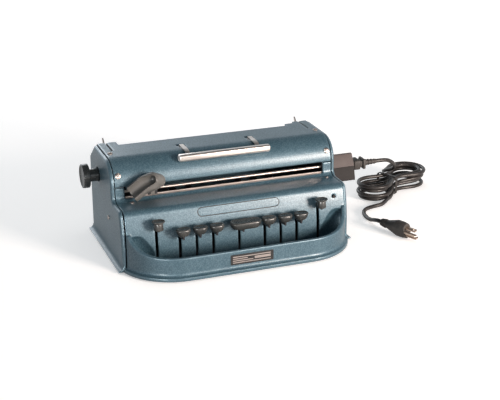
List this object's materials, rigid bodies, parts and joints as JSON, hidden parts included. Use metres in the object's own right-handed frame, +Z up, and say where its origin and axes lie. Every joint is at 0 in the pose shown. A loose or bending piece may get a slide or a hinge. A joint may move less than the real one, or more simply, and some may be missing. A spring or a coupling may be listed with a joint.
{
  "type": "electric brailler",
  "caption": "Electric braille writer: die-cast case, keys in a tray, sliding embossing head, paper feed knob, lift handle, side power box and mains cord in a hank.",
  "frame": {"origin": "on the plane under the rubber feet, midway between the two side panels and midway between the rear edge and the front of the tray", "axes": "+X to the operator's right, +Y to the back, +Z up"},
  "size_m": [0.5697, 0.2678, 0.14],
  "materials": {
    "hammertone": "hammertone enamel, fine speckle, semi-gloss",
    "key_plastic": "moulded, satin, worn brighter on the edges",
    "steel": "bright drawn steel",
    "dark_steel": "blackened steel",
    "handle_metal": "satin, rounded edges",
    "scoop_metal": "dark grey-green enamel",
    "box_plastic": "fine-grained brown-grey moulding",
    "lid_plastic": "fine-grained dark brown moulding",
    "black_plastic": "moulded",
    "rubber": "matt",
    "cord_pvc": "soft PVC sheath, slight sheen",
    "brass": "bright",
    "plate": "bare plate, satin"
  },
  "bodies": {
    "case": {"base_plate": "dark_steel", "rubber_feet": "rubber", "left_side_panel": "hammertone", "right_side_panel": "hammertone", "front_casting": "hammertone", "top_cover": "hammertone", "rear_panel": "hammertone", "inner_frames": "steel", "label_plate": "plate", "case_screws": "steel", "indicator_lamp": "black_plastic", "head_rails": "steel", "paper_guide": "steel", "paper_table": "hammertone", "key_shaft": "steel", "key_springs": "steel", "drive_motor": "dark_steel", "power_box": "box_plastic", "power_box_lid": "lid_plastic", "power_inlet": "black_plastic", "bell": "brass", "margin_rail": "steel", "carriage_rack": "dark_steel", "iec_connector": "rubber", "cord_lead": "cord_pvc", "cord_hank": "cord_pvc", "cord_tie": "cord_pvc", "cord_tail": "cord_pvc", "plug_body": "rubber", "plug_blades": "brass"},
    "feed": {"feed_knob": "key_plastic", "feed_roller": "steel", "ratchet_gear": "brass"},
    "release": {"release_levers": "steel"},
    "left_stop": {"left_margin_stop": "steel"},
    "right_stop": {"right_margin_stop": "steel"},
    "head": {"carriage": "dark_steel"},
    "head_lever": {"carriage_lever": "scoop_metal"},
    "handle": {"handle_bar": "handle_metal", "handle_straps": "handle_metal"},
    "pinion": {"motor_pinion": "brass"},
    "cams": {"cam_shaft": "steel"},
    "space_key": {"spacebar": "key_plastic", "space_lever": "dark_steel"},
    "line_space": {"line_space_key": "key_plastic", "line_space_lever": "dark_steel"},
    "backspace": {"backspace_key": "key_plastic", "backspace_lever": "dark_steel"},
    "key_1": {"dot_key_1": "key_plastic", "dot_lever_1": "dark_steel"},
    "key_2": {"dot_key_2": "key_plastic", "dot_lever_2": "dark_steel"},
    "key_3": {"dot_key_3": "key_plastic", "dot_lever_3": "dark_steel"},
    "key_4": {"dot_key_4": "key_plastic", "dot_lever_4": "dark_steel"},
    "key_5": {"dot_key_5": "key_plastic", "dot_lever_5": "dark_steel"},
    "key_6": {"dot_key_6": "key_plastic", "dot_lever_6": "dark_steel"}
  },
  "joints": [
    {"name": "feed_turn", "type": "hinge", "parent": "case", "child": "feed", "pos_m": [0, 0.0665, 0.1], "axis": [1, 0, 0], "continuous": true},
    {"name": "release_tilt", "type": "hinge", "parent": "case", "child": "release", "pos_m": [0, 0.0835, 0.104], "axis": [1, 0, 0], "range_deg": [0, 60], "stiffness_Nm_per_rad": 0.02, "springref_deg": -34.38},
    {"name": "left_stop_slide", "type": "slide", "parent": "case", "child": "left_stop", "axis": [1, 0, 0], "range_m": [0, 0.1]},
    {"name": "right_stop_slide", "type": "slide", "parent": "case", "child": "right_stop", "axis": [-1, 0, 0], "range_m": [0, 0.1]},
    {"name": "head_slide", "type": "slide", "parent": "case", "child": "head", "axis": [1, 0, 0], "range_m": [0, 0.235]},
    {"name": "head_lever_tilt", "type": "hinge", "parent": "head", "child": "head_lever", "pos_m": [-0.109, -0.0125, 0.0945], "axis": [1, 0, 0], "range_deg": [0, 6], "stiffness_Nm_per_rad": 0.3, "springref_deg": -11.46},
    {"name": "handle_lift", "type": "hinge", "parent": "case", "child": "handle", "pos_m": [0, 0.0375, 0.133], "axis": [-1, 0, 0], "range_deg": [0, 80]},
    {"name": "cam_turn", "type": "hinge", "parent": "case", "child": "cams", "pos_m": [0, 0.0475, 0.06646], "axis": [1, 0, 0], "continuous": true},
    {"name": "pinion_turn", "type": "hinge", "parent": "case", "child": "pinion", "pos_m": [0, 0.0775, 0.04], "axis": [1, 0, 0], "continuous": true},
    {"name": "space_key_press", "type": "hinge", "parent": "case", "child": "space_key", "pos_m": [0, 0.0355, 0.03], "axis": [1, 0, 0], "range_deg": [0, 3], "stiffness_Nm_per_rad": 1, "springref_deg": -5.73},
    {"name": "line_space_press", "type": "hinge", "parent": "case", "child": "line_space", "pos_m": [0, 0.0355, 0.03], "axis": [1, 0, 0], "range_deg": [0, 3], "stiffness_Nm_per_rad": 1, "springref_deg": -5.73},
    {"name": "backspace_press", "type": "hinge", "parent": "case", "child": "backspace", "pos_m": [0, 0.0355, 0.03], "axis": [1, 0, 0], "range_deg": [0, 3], "stiffness_Nm_per_rad": 1, "springref_deg": -5.73},
    {"name": "key_1_press", "type": "hinge", "parent": "case", "child": "key_1", "pos_m": [0, 0.0355, 0.03], "axis": [1, 0, 0], "range_deg": [0, 3], "stiffness_Nm_per_rad": 1, "springref_deg": -5.73},
    {"name": "key_2_press", "type": "hinge", "parent": "case", "child": "key_2", "pos_m": [0, 0.0355, 0.03], "axis": [1, 0, 0], "range_deg": [0, 3], "stiffness_Nm_per_rad": 1, "springref_deg": -5.73},
    {"name": "key_3_press", "type": "hinge", "parent": "case", "child": "key_3", "pos_m": [0, 0.0355, 0.03], "axis": [1, 0, 0], "range_deg": [0, 3], "stiffness_Nm_per_rad": 1, "springref_deg": -5.73},
    {"name": "key_4_press", "type": "hinge", "parent": "case", "child": "key_4", "pos_m": [0, 0.0355, 0.03], "axis": [1, 0, 0], "range_deg": [0, 3], "stiffness_Nm_per_rad": 1, "springref_deg": -5.73},
    {"name": "key_5_press", "type": "hinge", "parent": "case", "child": "key_5", "pos_m": [0, 0.0355, 0.03], "axis": [1, 0, 0], "range_deg": [0, 3], "stiffness_Nm_per_rad": 1, "springref_deg": -5.73},
    {"name": "key_6_press", "type": "hinge", "parent": "case", "child": "key_6", "pos_m": [0, 0.0355, 0.03], "axis": [1, 0, 0], "range_deg": [0, 3], "stiffness_Nm_per_rad": 1, "springref_deg": -5.73}
  ],
  "couplings": [
    {"joint": "pinion_turn", "follows": "cam_turn", "ratio": -1.8571}
  ]
}
